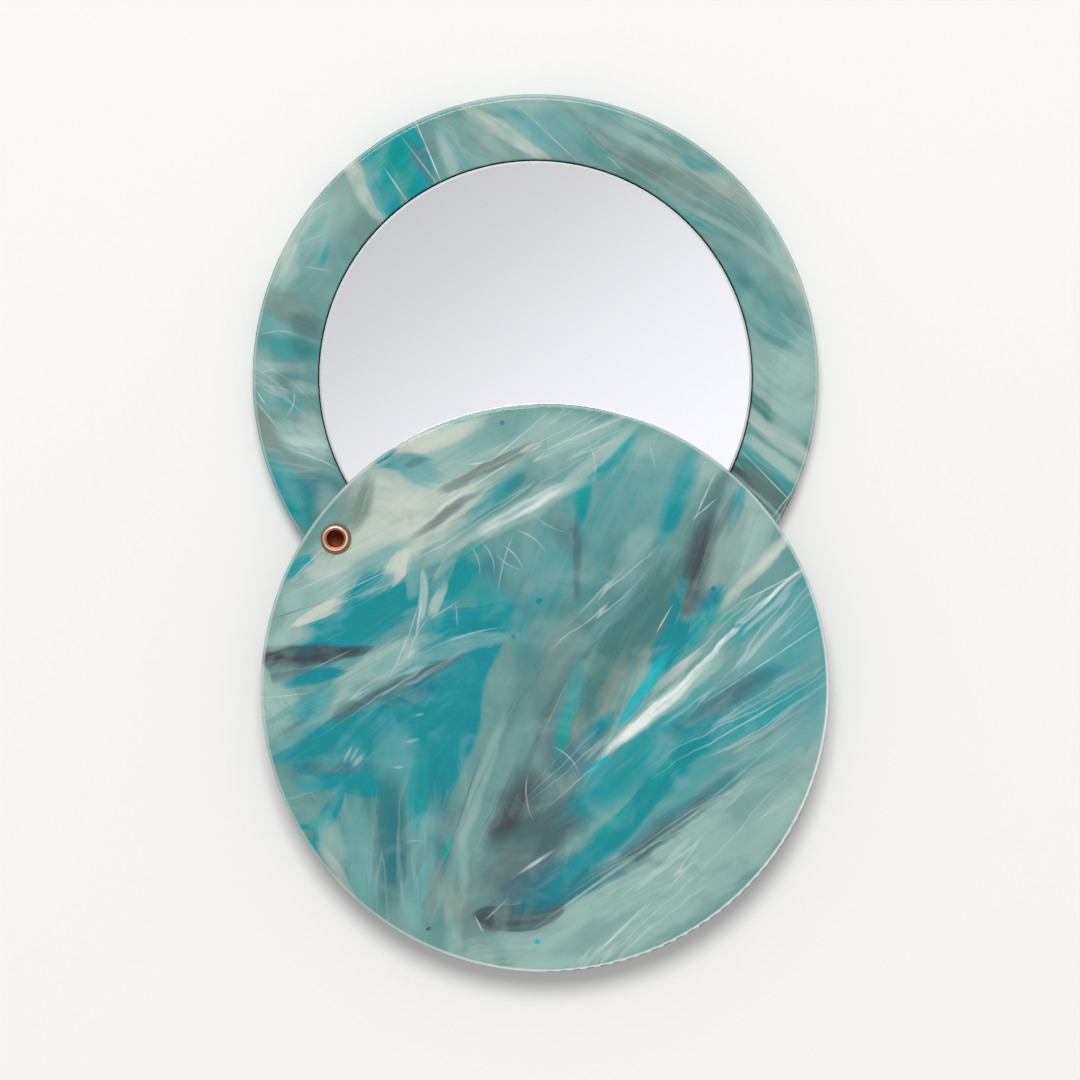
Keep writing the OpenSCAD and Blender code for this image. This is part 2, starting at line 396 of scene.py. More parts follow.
# %% Cover: the ribbon folded over like a bent arm
on_cover += [
    band(SLATE, (-34, -5.6), (-17, 1.6), 1.1, 0.7, 0.85),
    band(SLATE, (-18.4, 1), (-10, 5.4), 0.8, 0.9, 0.75),
    band(PETROL, (-22, -2.8), (-13.6, 1.4), 1.1, 0.9, 0.7),
    band(PALE, (-31.4, -3.4), (-15.6, 7), 2.1, 0.35, 0.85, bend=0.7),
    band(MIST, (-18, 3.8), (-4.4, 7.6), 1.3, 0.45, 0.85, bend=0.8),
    band(MIST, (-37, -9.4), (-28.6, -2.6), 0.9, 0.6, 0.85),
    band(SEA, (-4.8, 8), (-8.6, -11), 1.5, 0.5, 0.9, bend=-1),
    band(SEA, (-4.2, 4), (-15.2, -32), 2.1, 0.5, 0.95),
    band(OLIVE, (-13.6, -22), (-15, -31), 1.1, 0.9, 0.5),
    band(PALE, (-5.6, -4), (-13.4, -27), 0.9, 0.8, 0.5),
    band(SEA, (1, 4), (-8.4, -20), 1.7, 0.6, 0.85),
    band(PALE, (-10.8, -20), (-12.6, -36), 1.3, 0.7),
    band(OLIVE, (-12.4, -25), (-9.4, -34), 1.8, 0.9, 0.55),
    band(LAGOON, (-12.2, -19), (-13.6, -23.4), 0.5, 0.9, 0.7),
]

# %% Cover: charcoal in the middle
on_cover += [
    band(SLATE, (0, 0), (4.6, -16), 2.6, 1, 0.55),
    band(SLATE, (-8, -27.6), (2, -20), 2.8, 0.8, 0.85),
    band(CHARCOAL, (-1.6, -11), (-6.4, -21.4), 2.7, 0.9, 0.8),
    band(CHARCOAL, (-4, -15.6), (-6.6, -20), 1.5, 0.8),
    band(CHARCOAL, (-3.6, -21.6), (7.4, -14), 2.6, 0.9, 0.8),
    band(OLIVE, (-4.6, -20.6), (-7.8, -28), 1.2, 1, 0.45),
    band(PETROL, (-6.4, -28.4), (9, -21.6), 1.7, 0.7, 0.8),
    band(PETROL, (-3, -29.8), (12, -23), 1.6, 0.5, 0.9),
    band(SLATE, (-9.4, -30.8), (-1.4, -26), 0.9),
    band(CHARCOAL, (-9.4, -31.2), (2.4, -29.6), 1.9, 0.12, 0.72,
         fray=0.2, fibre=0.8, bend=-0.5),
    band(CHARCOAL, (-9.2, -31), (-5.6, -31.8), 1.2, 0.3, fray=0.2),
    band(PETROL, (-4, -29.4), (9, -24.4), 1.5, 0.3, 0.8, fray=0.4),
]

# %% Cover: the long diagonals on the right
on_cover += [
    band(LAGOON, (3, -17.6), (19, -4.4), 3.4, 0.7, 0.85),
    band(LAGOON, (10, -8), (22, 0.6), 2.2),
    band(TEAL, (1.8, -26.4), (23, -6.4), 1.7, 0.6, 1),
    band(TEAL, (12.6, -15), (22, -6.6), 1.5, 0.8, 0.8),
    band(LAGOON, (6, -13.6), (16, -11), 1.6, 0.9, 0.7),
    band(PETROL, (9, -24.6), (18, -16), 1.3, 0.8, 0.8),
    band(SLATE, (7.6, -25.2), (27.4, -10.4), 1.25, 0.6, 0.85),
    band(CHARCOAL, (9, -23.8), (16, -19.4), 0.8, 0.9, 0.5),
    band(PETROL, (16.6, -6.4), (32, 3.6), 1.7, 0.8, 0.75),
    band(SLATE, (21, -3.4), (30.6, 2.8), 0.9, 0.9, 0.5),
    band(LAGOON, (22, -8), (38, 1.4), 1.6, 0.8, 0.75),
    band(SEA, (20, -10.6), (36, -2.4), 0.9, 0.9, 0.7),
    band(LAGOON, (35, -7), (38.6, 5), 1.6),
    band(LAGOON, (23, 5), (35.8, 15), 1.2, 0.8, 0.65),
    band(LAGOON, (29, 1), (38, 13), 2.4, 0.9, 0.55),
    band(MIST, (27, -10.6), (37, -3.6), 1.8, 0.9, 0.7),
    band(LAGOON, (22, -14.8), (28, -9.6), 0.8, 0.9, 0.5),
    veil(MIST, (2, -27), (25, -5), 4, 0.24),
]

# %% Cover: the dark fold, teal spots and bright feathers near the top right
on_cover += [
    band(SLATE, (15.6, 8), (24.8, 29.6), 1.5, 0.9, 0.7),
    band(CHARCOAL, (18.4, 9.8), (22.6, 23), 1.7, 0.9, 0.8),
    band(CHARCOAL, (18.2, 9.6), (21, 14), 1.3, 0.9, 0.45),
    band(LAGOON, (24.2, 20), (27, 27.4), 0.9, 0.7, 0.75),
    band(SLATE, (22.6, 19), (25.4, 26), 0.6, 0.9, 0.7),
    band(LAGOON, (15.6, 19.6), (20, 31.6), 1.5, 0.9, 0.8),
    band(TEAL, (16.2, 20.8), (18, 24.4), 0.9),
    band(LAGOON, (6.6, 28.4), (12, 34.4), 1.4, 0.6, 0.9),
    band(AQUA, (9, 32), (11.6, 34), 0.8, 0.9, 0.4),
    band(LAGOON, (4.8, 21.4), (5.6, 29), 1, 0.8, 0.95),
    band(TEAL, (5, 22.8), (5.3, 26.8), 0.55),
    band(PINE, (8.6, 2), (17.4, 15.6), 2.8, 1, 0.8),
    band(SLATE, (4.9, 12), (4.3, 23), 0.55, 0.8, 0.75),
    band(SLATE, (0.6, 24), (5, 18), 1.8, 1, 0.5),
    band(OLIVE, (0, 0), (5, 10), 1.8, 1, 0.5),
    band(LAGOON, (1.6, -9), (5, 3), 1.2, 0.8, 0.7),
    band(PINE, (5, -4), (9.6, 6), 1.5, 0.9, 0.85),
    band(OLIVE, (4.2, -7), (5.2, -2.6), 0.6, 0.9, 0.7),
    band(TEAL, (5.6, -7), (9, -2.6), 0.9, 0.9, 0.8),
    band(OLIVE, (6.6, -4), (10.8, 3.6), 1.2, 0.8),
    band(OLIVE, (13, 2.6), (16, 7), 1, 0.8, 0.5),
    band(LAGOON, (15.4, 1.6), (24, 13.4), 1.7, 0.8, 0.75),
    band(TEAL, (15, 3), (18.6, 9.4), 1.8, 0.5, 1),
    band(TEAL, (16.2, 8), (18.6, 14.4), 0.9, 0.9, 0.8),
    band(TEAL, (21, 10.8), (23.8, 13.8), 1.1, 0.9, 0.8),
    band(AQUA, (9.4, -5), (16.4, 4.6), 0.75, 0.7, 0.9),
    band(AQUA, (5.6, -11), (8.6, -8.4), 0.6, 0.6, 0.85),
    band(PALE, (7.6, -8.6), (24, 5), 1.25, 0.5, 0.8, fray=1.8, taper=0.2),
    band(WHITE, (8, -8.4), (20.6, 2.6), 0.85, 0.6, 0.85, fray=2.0, fibre=3.5),
    band(WHITE, (17, 0), (34.6, 16.6), 0.34, 0.7, 0.8, fibre=2, bend=0.5),
    band(CREAM, (15, 0.6), (20.6, 5), 0.6),
    band(CREAM, (24.4, 11.6), (33, 21), 0.85, 0.8, 0.65),
    band(WHITE, (28, 15.6), (32.6, 20.4), 0.5, 0.9, 0.3),
]

# %% Cover: thin doughs that lie over the others and settle their tones
on_cover += [
    band(PALE, (-36.6, 6.4), (-30.6, 7), 1.1, 0.9, 0.7),
    band(PALE, (-35.4, 10.4), (-30, 14), 1.4, 1, 0.5),
    band(SLATE, (-7, -27), (3, -18.6), 2.6, 1, 0.55),
    band(OLIVE, (-5.4, -25), (-1, -20), 1.3, 1, 0.35),
    band(PALE, (-15, 19), (-9, 22.6), 1.6, 1, 0.7),
    band(PALE, (1, -31.6), (6, -28.8), 1.1, 1, 0.5),
    band(MIST, (-10, 17), (-8, 19), 1.5, 1, 0.55),
    band(PALE, (10, 15), (14, 21.6), 1.6, 1, 0.45),
    band(MIST, (35.6, -4), (37, 4), 1.8, 1, 0.5),
    band(TEAL, (-17.4, 5), (-13, 7.2), 1.2),
    band(OLIVE, (22.4, 13.4), (26, 24), 2.2, 1, 0.45),
    band(LAGOON, (24.6, 7), (30, 11), 1.6, 1, 0.5),
    band(PETROL, (-14.4, -14), (-12, -26), 2.0, 1, 0.5),
    band(TEAL, (-27.4, 10.2), (-20.6, 14.8), 1.6, 0.9, 0.8),
    band(SEA, (-26, -1.2), (-22, 1.2), 1.2),
    band(SLATE, (-1, -12), (1.6, -18), 2.0, 1, 0.55),
    band(SEA, (24, -17.6), (34, -10), 2.2, 1),
    band(PALE, (-7, 28.6), (0, 37.4), 2.4, 1, 0.65),
    band(PALE, (12, 32), (18.4, 33.6), 1.4, 1, 0.5),
    band(LAGOON, (-33, -3.8), (-28, 0), 1.4, 0.9, 0.65),
    band(SLATE, (-28.4, -4), (-24.6, -2), 0.9, 0.9, 0.5),
    band(LAGOON, (15.6, -17), (24, -9), 1.9, 1, 0.55),
    band(PETROL, (1.6, -10.8), (8, -5), 1.6, 1),
    band(MIST, (-23, 2), (-19, 4.4), 1, 0.9, 0.55),
    band(PALE, (-17, 17), (-12, 19.6), 1.2, 0.9, 0.5),
    band(SEA, (1, -35.4), (10, -31), 1.7, 1, 0.55),
    band(TEAL, (17.6, -8.4), (24, -3.8), 1.4, 0.9, 0.65),
    band(TEAL, (7, -22.4), (14.8, -15.8), 1.5),
    band(PETROL, (4.4, -10.6), (7.8, -7.4), 1.1, 1, 0.5),
    band(SLATE, (19.6, 9.6), (22, 14.6), 1.2, 1, 0.5),
    band(TEAL, (-32.4, -7.4), (-27.8, -4.4), 1.3, 0.9, 0.55),
    band(PINE, (4.8, -5.4), (7.2, -0.8), 1.2, 1, 0.55),
    band(LAGOON, (24.6, -4.6), (29.4, -1.4), 1.3, 1, 0.55),
    band(PINE, (-28.4, -4.2), (-25.6, -1.8), 1.1, 1, 0.5),
    band(SLATE, (-13.2, -20.4), (-10.8, -15.6), 1.3, 1, 0.45),
]

# %% Cover: green tints along the teal
on_cover += [
    band(JADE, (4.9, 24), (5.6, 29), 0.6),
    band(JADE, (8.4, 31.4), (11.4, 34), 0.7, 0.9, 0.7),
    band(JADE, (-12, 18.4), (-8.4, 18.8), 0.7),
    band(JADE, (-13.4, -22.4), (-12.2, -19), 0.4, 0.9, 0.8),
    band(JADE, (-31.4, -18.4), (-28.4, -16.4), 0.7, 0.9, 0.7),
    band(JADE, (2.4, -8.4), (3.8, -2), 0.6),
    band(JADE, (14, -13.4), (18, -9.6), 0.7),
    band(JADE, (6.4, -20.4), (12, -15.6), 0.7),
    band(JADE, (-14, 35.8), (-9, 36.4), 0.6, 0.9, 0.5),
    band(JADE, (20, 9), (27, 10), 0.6, 0.9, 0.5),
    band(JADE, (-36.6, -4.4), (-32, -1.6), 0.5, 0.9, 0.5),
]

# %% Cover: white bands at the top
on_cover += [
    band(LAGOON, (-10.4, 22.6), (-2.6, 29.4), 1.3, 0.8, 0.65),
    band(PETROL, (-5.4, 26.6), (-2.8, 28.8), 0.8, 0.9, 0.5),
    band(PALE, (-11.4, 19.2), (5.4, 28), 1.5, 0.7, 0.75),
    band(WHITE, (-10.6, 20), (4.4, 27.6), 0.85, 0.9, 0.5, fibre=3),
    band(WHITE, (-3.6, 23), (3.4, 27), 0.5, 0.9, 0.4, fibre=3),
    band(PALE, (2, 26), (12.6, 35.8), 0.9, 0.6, 0.85),
    band(PALE, (0, 31), (10.6, 36.4), 0.8, 0.8, 0.7),
    band(LAGOON, (-11.6, 31), (0, 37), 1.3, 0.9, 0.3),
    band(SLATE, (-13.4, 26.2), (-9.4, 28.6), 0.7, 0.8, 0.7),
    band(SLATE, (-17.4, 20.6), (-8.4, 26.8), 0.5, 0.8, 0.7),
    band(OLIVE, (-11.4, 27.8), (-0.6, 33.2), 0.75, 0.3, 0.85, fibre=0.6),
    band(CREAM, (-3.4, 31.7), (-0.2, 33.1), 0.5, 0.5),
]

# %% Cover: bundles of fine veins
on_cover += [
    feather((-18, 17), (0, 30), 3.4, 0.09),
    feather((-14, 23), (0, 34), 2.0, 0.09, pigment=SLATE),
    feather((-8, 29), (13, 37), 3.6, 0.09),
    feather((-31, 10), (-20, 16), 2.4, 0.07),
    feather((-34, -6), (-12, 6), 2.6, 0.09),
    feather((2, 5), (14, 18), 1.4, 0.14),
    feather((-4, -2), (-15, -32), 3.0, 0.12, pigment=PALE),
    feather((-6, 0), (-14, -28), 2.4, 0.12, pigment=SLATE),
    feather((-1, -15), (8, -6), 2.4, 0.09),
    feather((13, -4), (37, 15), 4.0, 0.11),
    feather((16, -11), (37, 2), 3.0, 0.09),
    feather((0, -33), (33, -8), 2.6, 0.15, pigment=PALE),
    feather((4, -38), (32, -12), 3.2, 0.11),
    feather((-19, -12), (-21, -32), 4.0, 0.04),
]

# %% Cover: crisp veins
on_cover += [
    hair((-10.4, 29.7), (-6.4, 30.6), 0.1, bend=-0.3),
    hair((-7, 30.5), (0.4, 36.8), 0.13),
    hair((-14.6, 23.8), (-3.6, 30.9), 0.14),
    hair((-10, 27.4), (-0.4, 32.8), 0.1, pigment=SLATE),
    hair((-9.6, 29), (-0.6, 33.8), 0.08, 0.5, pigment=SLATE),
    hair((0, 33.6), (0.1, 31.6), 0.1, bend=-0.3, pigment=SLATE),
    hair((-36.8, 9.2), (-30, 11.4), 0.12, pigment=SLATE),
    hair((-28, 12.4), (-20.6, 15.9), 0.09),
    hair((-33.6, 14.8), (-29.4, 18.8), 0.12, 0.48),
    hair((-34, 12.6), (-27, 16), 0.14, 0.32),
    hair((-16.7, 10.8), (-20.4, 1.6), 0.16, 0.4, bend=0.3),
    hair((-16.4, 12), (-17.2, 7), 0.22, 0.48),
    hair((-16, 9.4), (-18.4, 4.6), 0.12, 0.32, bend=-0.3),
    hair((-11.9, 11.4), (-11.7, 8.4), 0.09, 0.48),
    hair((-15.4, 9.2), (-11.6, 11.6), 0.1, 0.4),
    hair((-16, 5.4), (-6, 8.6), 0.12, 0.36, bend=0.5),
    hair((-4.6, 20.2), (-6.4, 13.6), 0.12, 0.4, bend=-0.2),
    hair((-9.4, 18.8), (-8.4, 15.4), 0.11, 0.5, bend=0.3),
    hair((-7.8, 19.4), (-6.4, 15.8), 0.11, bend=0.4),
    hair((-6.6, 17.6), (-3.4, 15.6), 0.1, 0.5, bend=-0.3),
    hair((-5.2, 19.2), (-2.8, 16.4), 0.1, 0.5, bend=0.3),
    hair((-3.4, 21.4), (0.2, 18.8), 0.11, 0.5, bend=0.4),
    hair((-1.2, 22.6), (2.6, 20.6), 0.1, 0.4, bend=-0.3),
    hair((-0.6, 31.6), (11.4, 36.6), 0.2, 0.44),
    hair((6.4, 32.6), (7, 28), 0.12, 0.28, bend=0.4),
    hair((14, 32.6), (14.8, 29.4), 0.12, 0.28),
    hair((20, 22.6), (22.4, 28), 0.15, 0.68),
    hair((20, 22.8), (22.8, 25.2), 0.13, 0.68),
    hair((3, 8.4), (10.6, 16), 0.22, 0.55, pigment=PALE),
    hair((15, 7.6), (16.9, 10.9), 0.11, 0.8),
    hair((17, 2.4), (22, 6.4), 0.1, 0.4),
    hair((-0.2, -6), (3, 1), 0.1, 0.24),
    hair((1.6, -7.6), (4.8, -10.8), 0.12, 0.4, bend=0.4),
    hair((-2.8, -12.2), (-2.1, -17.4), 0.14, 0.4, bend=-0.4),
    hair((-3.2, -24.6), (1, -21.8), 0.3, 0.5),
    hair((-7.8, -30.8), (-5.2, -28.4), 0.14, 0.4),
    hair((-9.4, -30.4), (-8.2, -32.6), 0.14, 0.4),
    hair((-8.8, -9.6), (-12.2, -20), 0.14, pigment=CHARCOAL),
    hair((4.6, -37.8), (13.4, -29), 0.22, 0.4),
    hair((0, -31), (23.4, -14.4), 0.28, 0.8, pigment=PALE),
    hair((19, -17.6), (33, -5.4), 0.22, pigment=PALE),
    hair((21.8, -1.6), (38, 9.2), 0.12, 0.48),
    hair((22.4, -7.2), (31, -2), 0.14, 0.4),
    hair((26, 11.4), (35.4, 16.2), 0.13, 0.48),
    hair((-35.4, -15.1), (-31.2, -13.9), 0.14, pigment=PALE),
    hair((-38, -1.3), (-32, -0.7), 0.12, 0.4),
    hair((-21.8, -1), (-19.6, 0.4), 0.12, 0.56),
    hair((-31, 2.6), (-26, 5), 0.09, 0.4),
    hair((-18.4, -20.4), (-16.4, -20.3), 0.1, 0.64, bend=0.15),
    hair((-26.8, -9.6), (-25.8, -7.8), 0.2, 0.36),
    hair((-26, -9.8), (-25, -8), 0.2, 0.32),
    hair((-25.6, -10.4), (-24.2, -8.8), 0.4, 0.32),
    hair((-18.6, -7.2), (-16.8, -6.8), 0.3, 0.28),
    hair((-20.2, -10.6), (-19, -10.5), 0.2, 0.28),
    hair((-17.2, -3.6), (-16.2, -3.4), 0.26, 0.28),
]

# %% Cover: specks of raw dye
on_cover += [
    speck(CHARCOAL, (-15.9, -32.3), (-15.2, -31.9), 0.2, 0.8),
    speck(AQUA, (-1.4, -33.6), (-0.6, -34), 0.35, 0.9),
    speck(TEAL, (-6.2, -37.1), (-5.8, -37.2), 0.25, 0.7),
    speck(TEAL, (-1.2, 11.4), (-0.4, 11.9), 0.35, 0.9),
    speck(TEAL, (-4.5, 7), (-3.9, 6.8), 0.3, 0.7),
    speck(TEAL, (-6, 35.4), (-5.4, 35.6), 0.3, 0.7),
    speck(TEAL, (25, 8.2), (26.4, 8.6), 0.3, 0.6),
    speck(TEAL, (22.2, 13.2), (22.9, 13.4), 0.35, 0.8),
]


# %% [markdown]
# ## The streaks of the base
# The base is cut from a paler part of the sheet. Its ring shows round the mirror, and the
# streaks behind the mirror and beneath the cover show from below and once it has turned.

# %% Base: grounds
on_base = [
    veil(PALE, (-10, 40), (40, 8), 12, 0.3),
    veil(SLATE, (-4, 34), (36, 8), 10, 0.3),
    band(PALE, (28, 6), (38, -6), 4.4, 0.8, 0.75),
    band(MIST, (-1, 36.6), (14, 28.4), 2.4),
    band(PALE, (-14, 38), (6, 36.6), 1.4),
]

# %% Base: upper left, from the hairline seam down to the side
on_base += [
    band(OLIVE, (-26, 28.4), (-22.4, 17), 2.2, 0.9, 0.5),
    band(PALE, (-35.6, 11), (-27.4, 25), 2.1, 0.6, 0.85),
    band(CREAM, (-34.6, 13), (-30, 21.6), 0.9, 0.9, 0.5),
    band(MIST, (-30.8, 14.6), (-28.6, 20.6), 2.0, 0.5, 0.85),
    band(LAGOON, (-28.4, 14.8), (-27.4, 18.4), 0.55, 0.8, 0.8),
    band(LAGOON, (-30, 19.4), (-27.8, 22), 0.7, 0.8),
    band(SLATE, (-31, 15.2), (-29, 18.4), 0.9, 0.9, 0.4),
    band(CREAM, (-25.4, 29.6), (-20.6, 21.4), 1.3, 0.7, 0.8),
    band(LAGOON, (-22.4, 31.4), (-18.8, 20.6), 1.7, 0.3, 0.95),
    band(TEAL, (-21.8, 30.6), (-19.6, 22.6), 1, 0.6, 0.7),
    band(LAGOON, (-19.4, 33.6), (-14.4, 23.4), 2.2, 0.3, 0.95),
    band(TEAL, (-20.2, 32.8), (-17, 26.8), 1.35, 0.5, 0.85),
    band(PETROL, (-18.6, 27.6), (-15.8, 23.8), 1.3, 0.9, 0.4),
    band(LAGOON, (-17.2, 34), (-13.6, 25.6), 1.3, 0.35, 0.9),
    band(AQUA, (-16.8, 32.6), (-15.6, 30.2), 0.6, 0.9, 0.5),
    band(SLATE, (-16.6, 31.6), (-13.4, 25.6), 0.8, 0.8, 0.55),
    band(JADE, (-20.8, 32), (-16.8, 24), 2.6, 0.8),
    band(SEA, (-15.2, 34.8), (-10.8, 25.6), 1.1, 0.2, 0.95),
]

# %% Base: the top
on_base += [
    band(PALE, (-13, 33), (-10, 26.6), 0.9, 0.7, 0.7),
    band(MIST, (-13.4, 35), (-8, 27.6), 0.65, 0.6, 0.85),
    band(LAGOON, (-12, 33.4), (-8.2, 28), 0.35, 0.8),
    band(MIST, (-11, 36), (-6.2, 28.6), 0.6, 0.7, 0.8),
    band(OLIVE, (-10.4, 35), (-2.4, 28.6), 1, 0.8),
    band(PALE, (-9.6, 35.4), (-4, 30), 0.8),
    band(CREAM, (-9.4, 36.4), (1, 29.8), 1, 0.6, 0.75),
    band(MIST, (-5.4, 37), (3.4, 29.8), 1.1, 0.5, 0.85),
    band(LAGOON, (-4, 36.6), (2.4, 31), 0.6, 0.9, 0.5),
]

# %% Base: the long streaks down the right side
on_base += [
    band(OLIVE, (2.6, 36.6), (12, 30.6), 0.8),
    band(PINE, (6, 32), (22, 22), 1.6, 0.9, 0.55),
    band(SLATE, (10, 31), (22, 25), 1, 0.9, 0.5),
    band(LAGOON, (12, 28.4), (24, 19.4), 0.7, 0.9, 0.5),
    band(PALE, (5, 36), (24, 26.6), 0.8, 0.9, 0.45),
    band(MIST, (8, 37), (14, 33.6), 0.8),
    band(PALE, (12, 35), (18, 31.6), 0.7),
    band(PINE, (14, 33), (24, 27), 0.6, 0.9, 0.5),
    band(LAGOON, (19.4, 30), (24.4, 27.4), 0.7, 0.8, 0.55),
    band(OLIVE, (17, 29), (30, 22.4), 1.1),
    band(CREAM, (22, 28), (31, 21.8), 1.2, 0.9, 0.3),
    band(PINE, (24, 22), (34, 12), 1.6, 0.9, 0.4),
    band(PALE, (18.4, 24.6), (34.4, 14), 0.5, 0.9, 0.5),
    band(LAGOON, (25, 16), (34, 7.6), 2.0, 1, 0.45),
    band(PINE, (25, 16), (30, 10.6), 0.8, 0.9, 0.5),
    band(PALE, (29.6, 24.6), (38, 6), 1.5, 0.8, 0.75),
    band(CREAM, (33.4, 17), (37.6, 8), 0.7, 0.9, 0.5),
    band(MIST, (28, 10), (38, 2.6), 1.7, 0.8, 0.7),
    band(PINE, (29.4, 7), (38.4, 1.8), 0.5, 0.8, 0.4),
]

# %% Base: bands across the ring, next to where the cover comes in
on_base += [
    band(MIST, (34, -4), (38, -9), 1.4),
    band(PINE, (28, -1.6), (38, -10.6), 0.95, 0.4, 0.7, taper=-0.2),
    band(CREAM, (28, -3.8), (38, -12.4), 1.1, 0.8, 0.5),
    band(WHITE, (28.6, -5.2), (36.6, -10.6), 0.3, 0.9, 0.2),
    band(PALE, (27.6, -7.4), (36.4, -14.6), 1.2, 0.5, 0.85),
    band(LAGOON, (27.4, -8.6), (35.6, -16), 0.9, 0.5),
    band(PINE, (26.6, -9.8), (35, -17.4), 0.9, 0.5, 0.9),
    band(SLATE, (26, -11.4), (34.4, -18.6), 1.3, 0.35, 0.95),
    band(CHARCOAL, (26, -11), (30, -15.6), 0.8),
    band(PALE, (26.6, -12.4), (33.6, -19), 0.28, 0.8),
    band(PINE, (24, -14), (32, -21), 1, 0.6, 0.8),
]

# %% Base: the left side
on_base += [
    band(OLIVE, (-37, 11.6), (-30, 8.4), 1.9, 0.8),
    band(MIST, (-38, 8.6), (-33.4, 5.8), 1.3, 0.8, 0.75),
    band(SLATE, (-33, 8.2), (-28.4, 6.6), 1.6, 0.9, 0.65),
    band(LAGOON, (-37, 4.6), (-28.6, 3.6), 1.5, 0.8, 0.55),
    band(PINE, (-33.4, 5), (-29, 3), 1.3),
    band(PALE, (-38, 1.6), (-31, 1.4), 0.8, 0.8, 0.5),
    band(LAGOON, (-37.6, -1.6), (-31.6, -4.4), 1, 0.8, 0.5),
    band(PALE, (-33.4, -0.8), (-28.6, -1.8), 0.8, 0.8),
    band(OLIVE, (-37.6, -4.4), (-34.4, -9.4), 1.2, 0.4, 0.8),
    band(PALE, (-34.4, -6.6), (-28, -10.2), 1.9, 0.7, 0.8),
    band(WHITE, (-33.4, -8), (-28, -9), 0.7, 1, 0.35),
    band(OLIVE, (-33.6, -10), (-31.4, -14), 1.1),
    band(LAGOON, (-36, -11), (-30, -20), 2.4, 0.7, 0.9),
    band(PETROL, (-33, -14), (-25.6, -15.6), 1.8),
    band(PINE, (-32, -17), (-26, -19), 1.6, 0.9, 0.5),
    band(TEAL, (-35, -13.6), (-33, -18), 0.8, 0.8, 0.7),
]

# %% Base: thin doughs that lie over the others and settle their tones
on_base += [
    band(PALE, (-31, 17), (-22, 28.4), 2.6, 1, 0.5),
    band(MIST, (-22.6, 22), (-19.4, 25.6), 1.6, 1, 0.45),
    band(SLATE, (-16.4, 28), (-13, 31.6), 1.5, 1, 0.35),
    band(PALE, (-13, 32.6), (-3, 30.6), 3.4, 1, 0.4),
    band(MIST, (-3, 33.6), (8, 34), 2.6, 1, 0.4),
    band(PALE, (-5, 33.4), (-1, 32.6), 1.6, 1, 0.4),
    band(PALE, (15, 31), (20.4, 28.6), 1.4, 1, 0.4),
    band(PALE, (28, 11.4), (31, 7), 1.3, 1, 0.4),
    band(OLIVE, (11, 29.4), (22, 24.4), 2.2, 1, 0.5),
    band(PALE, (28.6, 18.6), (34, 10), 2.6, 1, 0.42),
    band(PALE, (33.6, -9), (37.4, 6), 2.8, 1, 0.72),
    band(OLIVE, (29, -12), (32, -17.4), 1.8, 1, 0.35),
    band(PALE, (-29, -15.4), (-25, -23), 2.3, 1, 0.65),
    band(PALE, (-37, 4), (-35.4, -4), 1.6, 1, 0.5),
    band(CREAM, (-31, -4.6), (-28.6, -8), 1.5, 1, 0.35),
    band(SLATE, (-34, -2.6), (-32.4, 2.6), 1.3, 1, 0.3),
]

# %% Base: the back, behind the mirror
on_base += [
    band(PALE, (-19, 13), (14, -12), 5.5, 0.8),
    band(LAGOON, (-20, 3), (7, -19), 4.5, 0.7, 0.75),
    band(TEAL, (-16, 3), (5, -14), 2.8, 0.5, 0.9),
    band(TEAL, (-5, 16), (11, 3), 2.2, 0.6, 0.8),
    band(CREAM, (-13, 18), (5, 3), 2.0, 0.6, 0.7),
    band(SLATE, (-18, -3), (-3, -18), 1.9, 0.8, 0.7),
    band(CHARCOAL, (-13, -8), (-4, -16), 1.2, 0.7, 0.8),
    band(MIST, (0, 20), (21, 2), 3.6, 0.8),
    band(WHITE, (2, 16), (18, 3), 0.7, 0.6, 0.7, fibre=3),
    band(PETROL, (6, -5), (21, -12), 2.2, 0.7, 0.7),
    band(AQUA, (8, -4), (17, -9), 0.8, 0.7, 0.8),
    band(PALE, (1, -16), (17, -19), 2.0, 0.7, 0.8),
    band(CREAM, (4, -20), (14, -17), 0.8, 0.8),
    feather((-16, 12), (16, -14), 8, 0.06),
    hair((-10, 12), (6, -4), 0.14),
    hair((4, 3), (18, -10), 0.14),
]

# %% Base: the part that the cover hides at rest
on_base += [
    band(LAGOON, (-26, -20), (-17, -31), 2.0, 0.7, 0.8),
    band(TEAL, (-23, -23), (-18.4, -29), 1, 0.7, 0.8),
    band(PALE, (-21, -20.6), (-10, -36), 2.0, 0.7, 0.75),
    band(CREAM, (-17.6, -25), (-10.6, -33), 0.8, 0.8, 0.7),
    band(SLATE, (-13, -26), (-6, -37), 1.3, 0.7, 0.8),
    band(PINE, (-9, -28), (1, -38), 1.4, 0.8, 0.7),
    band(MIST, (-4, -28.6), (7, -37.6), 1.8, 0.6, 0.8),
    band(LAGOON, (0, -29), (11, -37), 1.2, 0.7, 0.8),
    band(TEAL, (4, -29.6), (11.6, -35), 0.8, 0.6, 0.85),
    band(PALE, (5, -28), (18, -34), 1.5, 0.7, 0.75),
    band(WHITE, (8, -28.6), (16, -33), 0.4, 0.9, 0.5),
    band(CHARCOAL, (12, -27), (21, -33), 0.9, 0.7, 0.7),
    band(PETROL, (15, -25), (27, -29), 1.6, 0.8, 0.8),
    band(PALE, (19, -21.6), (31, -26), 1.8, 0.7, 0.8),
    hair((-20, -24), (-12, -34), 0.14),
    hair((-6, -30), (4, -37), 0.13),
    hair((9, -28), (19, -31.6), 0.14),
]

